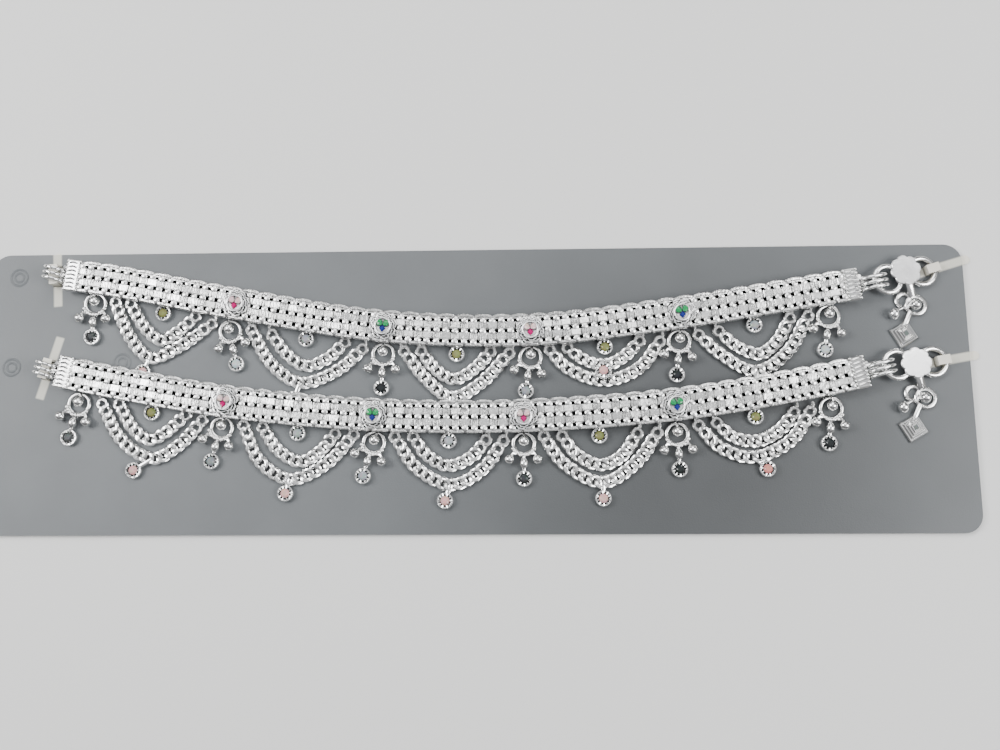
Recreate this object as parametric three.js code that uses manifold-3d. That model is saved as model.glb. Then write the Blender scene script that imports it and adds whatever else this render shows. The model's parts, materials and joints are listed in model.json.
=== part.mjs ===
// A pair of payal anklets laid out on a flat display card, each held by two threaded plastic ties.
// Millimetres, +Z up. The card lies in the XY plane with its long side along X.
import * as THREE from 'three';
import { mergeVertices } from 'three/addons/utils/BufferGeometryUtils.js';
import Module from 'manifold-3d';

const wasm = await Module();
wasm.setup();

// Display card
const CARD_LENGTH = 280;
const CARD_DEPTH = 81.3;
const CARD_CORNER = 5.2;
const CARD_BOTTOM = 0.5;
const CARD_TOP = 1.3;
const SLIT_PLAY = 0.2;

// Plastic ties: the ends lie under the card and the middle stands above it
const TIE_WIDTH = 2.5;
const TIE_THICKNESS = 0.4;
const TIES = [
  { node: 'upper_left_tie', x: -120.6, y: 34.1, turn: 95, ends: [-9.1, 7.2], bridge: 2.9, top: 4.3 },
  { node: 'lower_left_tie', x: -121, y: 6.4, turn: 75, ends: [-8.8, 9.9], bridge: 2.9, top: 4.3 },
  { node: 'upper_right_tie', x: 131.5, y: 33.3, turn: 17, ends: [-7, 11.5], bridge: 1.8, top: 3.9 },
  { node: 'lower_right_tie', x: 132.9, y: 7, turn: 10, ends: [-8.3, 10.2], bridge: 1.8, top: 3.9 },
];

// Heights shared by both anklets
const REST = CARD_TOP + 0.1;
const BAND_BOTTOM = 3;
const BAND_TOP = 5;
const FLOWER_BOTTOM = BAND_TOP + 0.1;

// Woven band and its soldered ends
const BAND_WIDTH = 9;
const BAND_STEPS = 16;
const BAND_ROWS = 4;
const GROOVE_WIDTH = 0.7;
const GROOVE_DEPTH = 0.4;
const CAP_LENGTH = 4;
const CAP_WIDTH = 9.5;
const CAP_THICKNESS = 2.6;
const COIL_WIRE = 1;
const COIL_PITCH = 1.5;
const COIL_TURNS = 3;
const LEFT_COIL = { length: 6.6, height: 6.6 };
const RIGHT_COIL = { length: 8.4, height: 5.4 };

// Rose medallions
const FLOWER_RADIUS = 4;
const FLOWER_LOBES = 6;
const FLOWER_TIERS = [
  { radius: FLOWER_RADIUS, height: 0.7 },
  { radius: 0.72 * FLOWER_RADIUS, height: 1.2 },
];

// Bell clusters, measured from the centre of their ring
const RING_RADIUS = 3;
const RING_WIRE = 0.95;
const BALL_RADIUS = 1.5;
const BELL_RADIUS = 1.6;
const BELLS = [
  { x: -3.5, y: -4.8, stretch: 1 },
  { x: 0, y: -5.6, stretch: 1.15 },
  { x: 3.3, y: -4.7, stretch: 1 },
];
const CLUSTER_STONE_DROP = 9.8;

// Claw-set stone drops
const BEZEL_RADIUS = 2.35;
const BEZEL_HEIGHT = 1.4;
const BEZEL_SIDES = 8;
const STEM_WIDTH = 1.1;

// Curb chains
const CHAIN_WIDTH = 3.7;
const CHAIN_THICKNESS = 1.3;
const CHAIN_STEPS = 12;

// Hook clasp with its flower plate and charm
const HOOK_WIRE = 1.3;
const HOOK_RING_RADIUS = 3.8;
const HOOK_RING_SPACING = 10.2;
const HOOK_TILT = 4.9;
const HOOK_HEIGHT = 3.1;
const PLATE_RADIUS = 4.4;
const PLATE_LOBES = 8;
const PLATE_THICKNESS = 0.8;
const CHARM_RINGS = [
  { x: 2.7, y: -9.6, radius: 2.6 },
  { x: -0.6, y: -8.3, radius: 2 },
];
const CHARM_WIRE = 0.9;
const CHARM_DROP = { x: -1.2, y: -17.9, side: 6, turn: 30 };

const SILVER = { color: 0xe6e7e8, roughness: 0.28, metalness: 1 };
const POLISHED = { color: 0xf0f0ee, roughness: 0.2, metalness: 1 };
const CARD_PLASTIC = { color: 0x969b9e, roughness: 0.55, metalness: 0 };
const TIE_PLASTIC = { color: 0xdedace, roughness: 0.5, metalness: 0 };

// The two anklets. band: the centre line, row by row. clusters: the ring's centre and the way the bells
// hang, in degrees from straight down. Each swag is a chain through five hand-placed points, and
// pink is where the stone drop under the outer one lies. drops: the stones hung straight off the band.
const ANKLETS = [
  {
    name: 'upper',
    band: [
      { x: -113.5, y: 33.3 }, { x: -104, y: 32 }, { x: -67, y: 24.7 }, { x: -24, y: 17.6 },
      { x: 17.5, y: 16.2 }, { x: 60, y: 20.8 }, { x: 98, y: 26.8 }, { x: 106.4, y: 28.1 },
    ],
    flowers: [-66.7, -24.3, 17.3, 59.8],
    clusters: [
      { x: -108.5, y: 25.6, turn: -2 }, { x: -68.7, y: 17.1, turn: 13 }, { x: -24.5, y: 10.1, turn: -2 },
      { x: 17.3, y: 8.9, turn: -8 }, { x: 59.3, y: 13.2, turn: -6 }, { x: 101.3, y: 19.9, turn: -9 },
    ],
    swags: [
      {
        outer: [[-102.5, 26], [-98, 16], [-91.5, 9.5], [-84, 12.3], [-74.2, 19.2]],
        inner: [[-98, 25.5], [-94, 18.8], [-88.5, 14.6], [-83.5, 17.4], [-79, 21.5]],
        pink: { x: -93.4, y: 5.4, lift: 0 },
      },
      {
        outer: [[-62.5, 17.5], [-57, 8], [-48, 2], [-37.5, 5.5], [-30.5, 11.5]],
        inner: [[-56.5, 16], [-52.5, 10.5], [-46.5, 6.8], [-40.5, 9], [-35.5, 13.5]],
        pink: { x: -49.6, y: -2.6, lift: 0 },
      },
      {
        outer: [[-18.5, 10.8], [-12.5, 3], [-5, -2.5], [3.2, 1.5], [11.3, 10]],
        inner: [[-13.6, 10.8], [-10, 6], [-4.5, 2.7], [1.6, 5.8], [6, 10.5]],
        pink: { x: -5.9, y: -7, lift: 0 },
      },
      {
        outer: [[22.8, 10.9], [27.6, 5.6], [38, 2], [48.2, 5.8], [53.8, 13]],
        inner: [[27.8, 11.4], [32, 8.2], [38.2, 6.4], [43.6, 8.8], [48.1, 13.2]],
        pink: { x: 37.7, y: 4.6, lift: 1.5 },
      },
      {
        outer: [[64.8, 14.8], [71, 9], [80.5, 4.3], [89.4, 9.8], [95.6, 20]],
        inner: [[70.5, 15.8], [75, 11.7], [81.3, 9.2], [86.8, 13], [90.5, 19.4]],
        pink: { x: 80.4, y: -0.2, lift: 0 },
      },
    ],
    drops: [-88.4, -46.7, -3.6, 38.3, 80.4],
    clasp: { x: 122.9, y: 31.2, turn: 14, plate: [0.3, 1.2] },
  },
  {
    name: 'lower',
    band: [
      { x: -114, y: 4.9 }, { x: -104, y: 2.8 }, { x: -67, y: -3.8 }, { x: -24, y: -7.8 },
      { x: 17.5, y: -8.1 }, { x: 60, y: -5 }, { x: 98, y: 1.2 }, { x: 107, y: 3.1 },
    ],
    flowers: [-68.7, -26.7, 15.3, 57.5],
    clusters: [
      { x: -111.3, y: -3.7, turn: -13 }, { x: -69.9, y: -10.7, turn: -15 }, { x: -26.7, y: -15.1, turn: -17 },
      { x: 15.3, y: -15.6, turn: 0 }, { x: 57.9, y: -13.2, turn: 2 }, { x: 100.6, y: -6.3, turn: -7 },
    ],
    swags: [
      {
        outer: [[-104.5, -3.7], [-98.7, -13.7], [-89, -19.3], [-81, -14.8], [-75.6, -8.6]],
        inner: [[-99.6, -3.7], [-95.5, -10.5], [-90.5, -14], [-86, -12], [-80.3, -7]],
        pink: { x: -94.4, y: -22.6, lift: 0 },
      },
      {
        outer: [[-63.7, -10], [-59, -20], [-50, -25.3], [-40, -21], [-32.4, -12.9]],
        inner: [[-58.2, -10.6], [-54.2, -16.6], [-47.5, -20.4], [-41.9, -17.6], [-37.7, -12.6]],
        pink: { x: -51.2, y: -29.2, lift: 0 },
      },
      {
        outer: [[-20.8, -13.5], [-15, -22], [-5, -27], [4, -22.5], [9.6, -14.8]],
        inner: [[-15.6, -13.5], [-12, -18.6], [-6, -21.7], [1, -19], [4.7, -14.6]],
        pink: { x: -6.6, y: -31.4, lift: 0 },
      },
      {
        outer: [[20.9, -13.6], [26, -21], [37, -26.5], [47, -20.4], [52.3, -12.8]],
        inner: [[26, -13.6], [30, -18.8], [36.5, -21.7], [42.6, -19], [46.8, -13]],
        pink: { x: 37.1, y: -30.9, lift: 0 },
      },
      {
        outer: [[63.9, -10.8], [69.5, -17], [78.5, -19.8], [89, -15.2], [94.7, -7.2]],
        inner: [[68.9, -10.2], [73.5, -14.3], [80.3, -15.2], [86.8, -11.6], [90.3, -7.4]],
        pink: { x: 82.3, y: -23, lift: 0 },
      },
    ],
    drops: [-90.1, -48.3, -5.7, 36.3, 79.6],
    clasp: { x: 124, y: 6, turn: 5, plate: [0, 0] },
  },
];

// ---------------------------------------------------------------- shared shapes

function toSolid(geometry) {
  const bare = geometry.clone();
  bare.deleteAttribute('normal');
  bare.deleteAttribute('uv');
  const merged = mergeVertices(bare, 1e-4);
  return new wasm.Manifold(new wasm.Mesh({
    numProp: 3,
    vertProperties: new Float32Array(merged.attributes.position.array),
    triVerts: new Uint32Array(merged.index.array),
  }));
}

function toGeometry(solid) {
  const mesh = solid.getMesh();
  const geometry = new THREE.BufferGeometry();
  geometry.setAttribute('position', new THREE.BufferAttribute(new Float32Array(mesh.vertProperties), 3));
  geometry.setIndex(new THREE.BufferAttribute(new Uint32Array(mesh.triVerts), 1));
  geometry.computeVertexNormals();
  return geometry;
}

function join(geometries) {
  return toGeometry(geometries.map(toSolid).reduce((whole, piece) => whole.add(piece)));
}

function piece(name, geometry, finish) {
  const mesh = new THREE.Mesh(geometry, new THREE.MeshStandardMaterial(finish));
  mesh.name = name;
  return mesh;
}

function slab(shape, bottom, top) {
  const geometry = new THREE.ExtrudeGeometry(shape, { depth: top - bottom, bevelEnabled: false });
  return geometry.translate(0, 0, bottom);
}

function along(points, outline, steps) {
  const path = new THREE.CatmullRomCurve3(points, false, 'centripetal');
  const section = new THREE.Shape(outline.map(([x, y]) => new THREE.Vector2(x, y)));
  return new THREE.ExtrudeGeometry(section, { steps, extrudePath: path, bevelEnabled: false });
}

function wireRing(radius, wire, around, sides) {
  return new THREE.TorusGeometry(radius, wire / 2, sides, around);
}

function ball(radius) {
  return new THREE.SphereGeometry(radius, 6, 4);
}

function bar(from, to, width, height) {
  const [start, end] = [new THREE.Vector3(...from), new THREE.Vector3(...to)];
  const run = end.clone().sub(start);
  const geometry = new THREE.BoxGeometry(run.length(), width, height);
  const turn = new THREE.Quaternion().setFromUnitVectors(new THREE.Vector3(1, 0, 0), run.clone().normalize());
  geometry.applyQuaternion(turn);
  return geometry.translate(...start.add(end).divideScalar(2).toArray());
}

function lobedOutline(radius, lobes, dip) {
  const perLobe = 3;
  const corners = lobes * perLobe;
  const outline = [];
  for (let i = 0; i < corners; i += 1) {
    const angle = (2 * Math.PI * i) / corners;
    const r = radius * (1 - dip * (0.5 - 0.5 * Math.cos(lobes * angle)));
    outline.push(new THREE.Vector2(r * Math.sin(angle), r * Math.cos(angle)));
  }
  return new THREE.Shape(outline);
}

// A closed setting: a straight collar with a low faceted stone standing in its mouth.
function setting() {
  const mouth = 0.72 * BEZEL_RADIUS;
  const profile = [
    [0, 0], [BEZEL_RADIUS, 0], [BEZEL_RADIUS, BEZEL_HEIGHT], [mouth, BEZEL_HEIGHT - 0.3], [0, BEZEL_HEIGHT],
  ];
  const lathe = new THREE.LatheGeometry(profile.map(([x, y]) => new THREE.Vector2(x, y)), BEZEL_SIDES);
  return lathe.rotateX(Math.PI / 2);
}

// ---------------------------------------------------------------- card and ties

function stadium(length, width) {
  const [half, r] = [length / 2 - width / 2, width / 2];
  const shape = new THREE.Shape();
  shape.absarc(half, 0, r, -Math.PI / 2, Math.PI / 2, false);
  shape.absarc(-half, 0, r, Math.PI / 2, (3 * Math.PI) / 2, false);
  return new THREE.Shape(shape.getPoints(6));
}

function slitOutline(tie, side) {
  const halfLength = TIE_THICKNESS / 2 + SLIT_PLAY;
  const halfWidth = TIE_WIDTH / 2 + SLIT_PLAY;
  const middle = side * (tie.bridge - TIE_THICKNESS / 2);
  const turn = THREE.MathUtils.degToRad(tie.turn);
  const corners = [[-1, -1], [1, -1], [1, 1], [-1, 1]].map(([sx, sy]) => {
    const corner = new THREE.Vector2(middle + sx * halfLength, sy * halfWidth);
    return corner.rotateAround(new THREE.Vector2(0, 0), turn).add(new THREE.Vector2(tie.x, tie.y));
  });
  return new THREE.Path(corners);
}

function makeCard() {
  const [x, y, r] = [CARD_LENGTH / 2, CARD_DEPTH / 2, CARD_CORNER];
  const edge = new THREE.Shape();
  edge.absarc(x - r, y - r, r, 0, Math.PI / 2, false);
  edge.absarc(-x + r, y - r, r, Math.PI / 2, Math.PI, false);
  edge.absarc(-x + r, -y + r, r, Math.PI, (3 * Math.PI) / 2, false);
  edge.absarc(x - r, -y + r, r, (3 * Math.PI) / 2, 2 * Math.PI, false);
  const outline = new THREE.Shape(edge.getPoints(4));
  TIES.forEach((tie) => outline.holes.push(slitOutline(tie, -1), slitOutline(tie, 1)));
  return piece('card', slab(outline, CARD_BOTTOM, CARD_TOP), CARD_PLASTIC);
}

// The side view of the strip, pushed across its width, then rounded at both tips.
function makeTie(tie) {
  const [left, right] = tie.ends;
  const [b, t, top] = [tie.bridge, TIE_THICKNESS, tie.top];
  const side = new THREE.Shape([
    [left, 0], [-b + t, 0], [-b + t, top - t], [b - t, top - t], [b - t, 0], [right, 0],
    [right, t], [b, t], [b, top], [-b, top], [-b, t], [left, t],
  ].map(([x, z]) => new THREE.Vector2(x, z)));
  const strip = new THREE.ExtrudeGeometry(side, { depth: TIE_WIDTH, bevelEnabled: false });
  strip.translate(0, 0, -TIE_WIDTH / 2).rotateX(Math.PI / 2);
  const plan = slab(stadium(right - left, TIE_WIDTH), -1, top + 1).translate((left + right) / 2, 0, 0);
  const mesh = piece(tie.node, toGeometry(toSolid(strip).intersect(toSolid(plan))), TIE_PLASTIC);
  mesh.position.set(tie.x, tie.y, 0);
  mesh.rotation.z = THREE.MathUtils.degToRad(tie.turn);
  return mesh;
}

// ---------------------------------------------------------------- woven band

function bandCurve(anklet) {
  const middle = (BAND_BOTTOM + BAND_TOP) / 2;
  const points = anklet.band.map((row) => new THREE.Vector3(row.x, row.y, middle));
  return new THREE.CatmullRomCurve3(points, false, 'centripetal');
}

function bandAt(anklet, x) {
  const curve = bandCurve(anklet);
  let [low, high] = [0, 1];
  for (let i = 0; i < 30; i += 1) {
    const half = (low + high) / 2;
    if (curve.getPoint(half).x < x) {
      low = half;
    } else {
      high = half;
    }
  }
  const tangent = curve.getTangent(low);
  return { y: curve.getPoint(low).y, turn: Math.atan2(tangent.y, tangent.x) };
}

// x is down through the thickness and y is across the width: a flat back and a grooved front.
function bandSection() {
  const [half, thick] = [BAND_WIDTH / 2, (BAND_TOP - BAND_BOTTOM) / 2];
  const outline = [[thick, -half], [thick, half]];
  const pitch = BAND_WIDTH / BAND_ROWS;
  for (let row = BAND_ROWS; row > 0; row -= 1) {
    const upper = -half + row * pitch;
    outline.push([-thick, upper - (row < BAND_ROWS ? GROOVE_WIDTH / 2 : 0)]);
    outline.push([-thick, upper - pitch + (row > 1 ? GROOVE_WIDTH / 2 : 0)]);
    if (row > 1) {
      outline.push([GROOVE_DEPTH - thick, upper - pitch]);
    }
  }
  return outline;
}

function coil(size, centre) {
  const turns = [];
  const round = wireRing(size.height / 2 - COIL_WIRE / 2, COIL_WIRE, 10, 4);
  round.scale(size.length / size.height, 1, 1).rotateX(Math.PI / 2);
  for (let i = 0; i < COIL_TURNS; i += 1) {
    const offset = (i - (COIL_TURNS - 1) / 2) * COIL_PITCH;
    turns.push(round.clone().translate(centre, offset, REST + size.height / 2));
  }
  return turns;
}

// A folded end plate with its coil, drawn with the band's end at x = 0 and the coil towards +x.
function bandEnd(size) {
  const [half, tip] = [CAP_WIDTH / 2, CAP_WIDTH / 2 - 0.4];
  const plan = new THREE.Shape([[-0.8, -half], [CAP_LENGTH - 0.8, -tip], [CAP_LENGTH - 0.8, tip], [-0.8, half]]
    .map(([x, y]) => new THREE.Vector2(x, y)));
  const middle = (BAND_BOTTOM + BAND_TOP) / 2;
  const plate = slab(plan, middle - CAP_THICKNESS / 2, middle + CAP_THICKNESS / 2);
  const coilWidth = (COIL_TURNS - 1) * COIL_PITCH + COIL_WIRE;
  const reach = CAP_LENGTH - 0.8;
  const root = new THREE.BoxGeometry(1.4, coilWidth, 1.6).translate(reach + 0.3, 0, middle);
  return [plate, root, ...coil(size, reach + size.length / 2 + 0.1)];
}

function makeBand(anklet) {
  const rows = anklet.band;
  const strip = along(bandCurve(anklet).points, bandSection(), BAND_STEPS);
  const ends = [
    { row: rows[0], size: LEFT_COIL, flip: Math.PI },
    { row: rows[rows.length - 1], size: RIGHT_COIL, flip: 0 },
  ].flatMap(({ row, size, flip }) => bandEnd(size).map((geometry) => geometry
    .rotateZ(flip + bandAt(anklet, row.x).turn)
    .translate(row.x, row.y, 0)));
  return piece(`${anklet.name}_band`, join([strip, ...ends]), SILVER);
}

// ---------------------------------------------------------------- medallions, clusters and drops

function makeFlower(anklet, x, number) {
  const { y, turn } = bandAt(anklet, x);
  const tiers = FLOWER_TIERS.map((tier) => slab(lobedOutline(tier.radius, FLOWER_LOBES, 0.1), 0, tier.height));
  const mesh = piece(`${anklet.name}_flower_${number}`, join(tiers), POLISHED);
  mesh.position.set(x, y, FLOWER_BOTTOM);
  mesh.rotation.z = turn;
  return mesh;
}

// The wires that carry the three bells and the stone, as one flat fork under the ring.
function yokeOutline() {
  const half = STEM_WIDTH / 2;
  const [left, , right] = BELLS;
  const low = BEZEL_RADIUS / 2 - CLUSTER_STONE_DROP;
  return new THREE.Shape([
    [-1.3, -2.7], [left.x, left.y], [-half, -4.8], [-half, low], [half, low], [half, -4.8],
    [right.x, right.y], [1.3, -2.7],
  ].map(([x, y]) => new THREE.Vector2(x, y)));
}

function makeCluster(anklet, row, number) {
  const wireMiddle = REST + RING_WIRE / 2;
  const parts = [
    wireRing(RING_RADIUS, RING_WIRE, 10, 4).translate(0, 0, wireMiddle),
    ball(BALL_RADIUS).translate(0, 0.4, REST + BALL_RADIUS),
    bar([0, 0.8, wireMiddle], [0, RING_RADIUS, wireMiddle], 0.9, 0.8),
    slab(yokeOutline(), REST + 0.2, REST + 1),
    setting().translate(0, -CLUSTER_STONE_DROP, REST),
    ...BELLS.map((bell) => ball(BELL_RADIUS).scale(1, bell.stretch, 1)
      .translate(bell.x, bell.y, REST + BELL_RADIUS)),
  ];
  const mesh = piece(`${anklet.name}_cluster_${number}`, join(parts), SILVER);
  mesh.position.set(row.x, row.y, 0);
  mesh.rotation.z = THREE.MathUtils.degToRad(row.turn);
  return mesh;
}

function makeStoneDrop(anklet, x, number) {
  const { y, turn } = bandAt(anklet, x);
  const loop = bar([0, 0, BEZEL_HEIGHT / 2], [0, BEZEL_RADIUS + 0.7, BEZEL_HEIGHT / 2], STEM_WIDTH, 0.8);
  const mesh = piece(`${anklet.name}_stone_drop_${number}`, join([setting(), loop]), SILVER);
  mesh.position.set(x, y - BAND_WIDTH / 2 - 1.9, REST);
  mesh.rotation.z = turn;
  return mesh;
}

// ---------------------------------------------------------------- curb chain swags

// x is down through the thickness and y is across the width.
function chainSection() {
  const [w, t] = [CHAIN_WIDTH / 2, CHAIN_THICKNESS / 2];
  return [[0, -w], [t, -0.7 * w], [t, 0.7 * w], [0, w], [-t, 0.7 * w], [-t, -0.7 * w]];
}

function chain(route) {
  const middle = REST + 0.05 + CHAIN_THICKNESS / 2;
  return along(route.map(([x, y]) => new THREE.Vector3(x, y, middle)), chainSection(), CHAIN_STEPS);
}

function makeSwags(anklet, swag, number) {
  const [x, y] = swag.outer[2];
  const { pink } = swag;
  const height = REST + pink.lift;
  const drop = setting().translate(pink.x, pink.y, height);
  const stem = bar([x, y, REST + 0.8], [pink.x, pink.y, height + 0.7], STEM_WIDTH, 0.9);
  return [
    piece(`${anklet.name}_outer_swag_${number}`, join([chain(swag.outer), stem, drop]), SILVER),
    piece(`${anklet.name}_inner_swag_${number}`, chain(swag.inner), SILVER),
  ];
}

// ---------------------------------------------------------------- hook clasp

function hookPlate() {
  const shape = lobedOutline(PLATE_RADIUS, PLATE_LOBES, 0.12);
  return slab(shape, HOOK_WIRE / 2 - 0.2, HOOK_WIRE / 2 - 0.2 + PLATE_THICKNESS);
}

function pyramid() {
  const [side, height] = [CHARM_DROP.side, 2.4];
  const profile = [[0, 0], [side, 0], [side, 0.8], [0.45 * side, height], [0, height]];
  const points = profile.map(([x, z]) => new THREE.Vector2(x / Math.SQRT2, z));
  return new THREE.LatheGeometry(points, 4).rotateX(Math.PI / 2).rotateZ(Math.PI / 4);
}

function charm([plateX, plateY]) {
  const wireMiddle = REST + CHARM_WIRE / 2;
  const [big, small] = CHARM_RINGS;
  const bell = { x: -3.9, y: -12.2 };
  const drop = CHARM_DROP;
  const square = pyramid().rotateZ(THREE.MathUtils.degToRad(drop.turn)).translate(drop.x, drop.y, REST);
  return [
    bar([0.6, -3.6, HOOK_HEIGHT + 0.7], [1.9, -7.2, wireMiddle + 0.2], 2.2, 0.9),
    ...CHARM_RINGS.map((ring) => wireRing(ring.radius, CHARM_WIRE, 10, 4).translate(ring.x, ring.y, wireMiddle)),
    ball(BALL_RADIUS).translate(big.x - 0.4, big.y, REST + BALL_RADIUS),
    bar([big.x, big.y, wireMiddle], [big.x + 1.2, big.y + 2.6, wireMiddle], 0.9, 0.8),
    bar([small.x, small.y - 1.6, wireMiddle + 0.2], [bell.x, bell.y, REST + 1.3], 1.2, 0.9),
    ball(BELL_RADIUS).scale(0.9, 1.1, 0.9).translate(bell.x, bell.y, REST + 1.5),
    bar([big.x - 1.6, big.y - 1.9, wireMiddle], [drop.x, drop.y + 2, wireMiddle + 0.2], 1.5, 1),
    square,
  ].map((geometry) => geometry.translate(plateX, plateY, 0));
}

function makeClasp(anklet) {
  const { x, y, turn, plate } = anklet.clasp;
  const rings = [-1, 1].map((side) => wireRing(HOOK_RING_RADIUS, HOOK_WIRE, 12, 4)
    .translate((side * HOOK_RING_SPACING) / 2, 0, 0));
  const bridge = new THREE.BoxGeometry(3, 2.4, HOOK_WIRE);
  const hook = [...rings, bridge, hookPlate().translate(...plate, 0)].map((geometry) => geometry
    .rotateY(THREE.MathUtils.degToRad(HOOK_TILT))
    .rotateZ(THREE.MathUtils.degToRad(turn))
    .translate(0, 0, HOOK_HEIGHT));
  const mesh = piece(`${anklet.name}_clasp`, join([...hook, ...charm(plate)]), POLISHED);
  mesh.position.set(x, y, 0);
  return mesh;
}

// ---------------------------------------------------------------- assembly

const part = new THREE.Group();
part.add(makeCard(), ...TIES.map(makeTie));
ANKLETS.forEach((anklet) => {
  part.add(makeBand(anklet), makeClasp(anklet));
  anklet.flowers.forEach((x, i) => part.add(makeFlower(anklet, x, i + 1)));
  anklet.clusters.forEach((row, i) => part.add(makeCluster(anklet, row, i + 1)));
  anklet.swags.forEach((swag, i) => part.add(...makeSwags(anklet, swag, i + 1)));
  anklet.drops.forEach((x, i) => part.add(makeStoneDrop(anklet, x, i + 1)));
});

// The origin is under the middle of everything, on the surface that the part lies on.
const box = new THREE.Box3().setFromObject(part, true);
const centre = box.getCenter(new THREE.Vector3());
part.position.set(-centre.x, -centre.y, -box.min.z);

export default part;
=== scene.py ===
"""A pair of silver payal anklets lying on a frosted display card, each held by two plastic ties."""

import json
import math
import random

import bpy
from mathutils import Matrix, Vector

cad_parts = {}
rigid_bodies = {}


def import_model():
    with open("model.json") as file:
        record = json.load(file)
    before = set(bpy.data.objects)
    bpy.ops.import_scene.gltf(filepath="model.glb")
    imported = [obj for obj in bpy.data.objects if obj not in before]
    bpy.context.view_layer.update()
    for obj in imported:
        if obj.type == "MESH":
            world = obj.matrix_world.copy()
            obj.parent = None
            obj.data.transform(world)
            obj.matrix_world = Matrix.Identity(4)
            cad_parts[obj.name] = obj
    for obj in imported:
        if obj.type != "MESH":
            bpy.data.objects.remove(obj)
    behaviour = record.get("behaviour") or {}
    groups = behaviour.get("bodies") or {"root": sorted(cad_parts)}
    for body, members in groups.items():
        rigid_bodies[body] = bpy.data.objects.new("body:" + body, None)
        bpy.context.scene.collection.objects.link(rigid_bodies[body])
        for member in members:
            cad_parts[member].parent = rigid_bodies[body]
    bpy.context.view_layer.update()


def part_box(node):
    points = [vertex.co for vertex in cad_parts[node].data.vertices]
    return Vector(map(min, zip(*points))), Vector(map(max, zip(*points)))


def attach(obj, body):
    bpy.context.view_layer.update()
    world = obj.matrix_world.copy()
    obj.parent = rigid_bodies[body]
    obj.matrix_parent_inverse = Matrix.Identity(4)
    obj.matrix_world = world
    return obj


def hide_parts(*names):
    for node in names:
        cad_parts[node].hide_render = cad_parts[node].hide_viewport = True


bl_info = {
    "name": "Payal Anklet Pair",
    "version": (1, 0, 0),
    "blender": (4, 5, 0),
    "location": "View3D > Sidebar > Anklets",
    "description": "Builds a pair of woven silver anklets on a display card",
    "category": "Add Mesh",
}

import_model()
CARD_LOW, CARD_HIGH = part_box("card")
CARD_X = 500 * (CARD_LOW[0] + CARD_HIGH[0])
CARD_Y = 500 * (CARD_LOW[1] + CARD_HIGH[1])

# Lengths below are millimetres, measured from the middle of the card.
CARD_TOP = 1.3
REST = 1.4
BAND_MIDDLE = 4.0
FLOWER_BOTTOM = 5.1
STONE_DROP_BELOW_BAND = 6.4
CAP_LENGTH = 4.0

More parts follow.
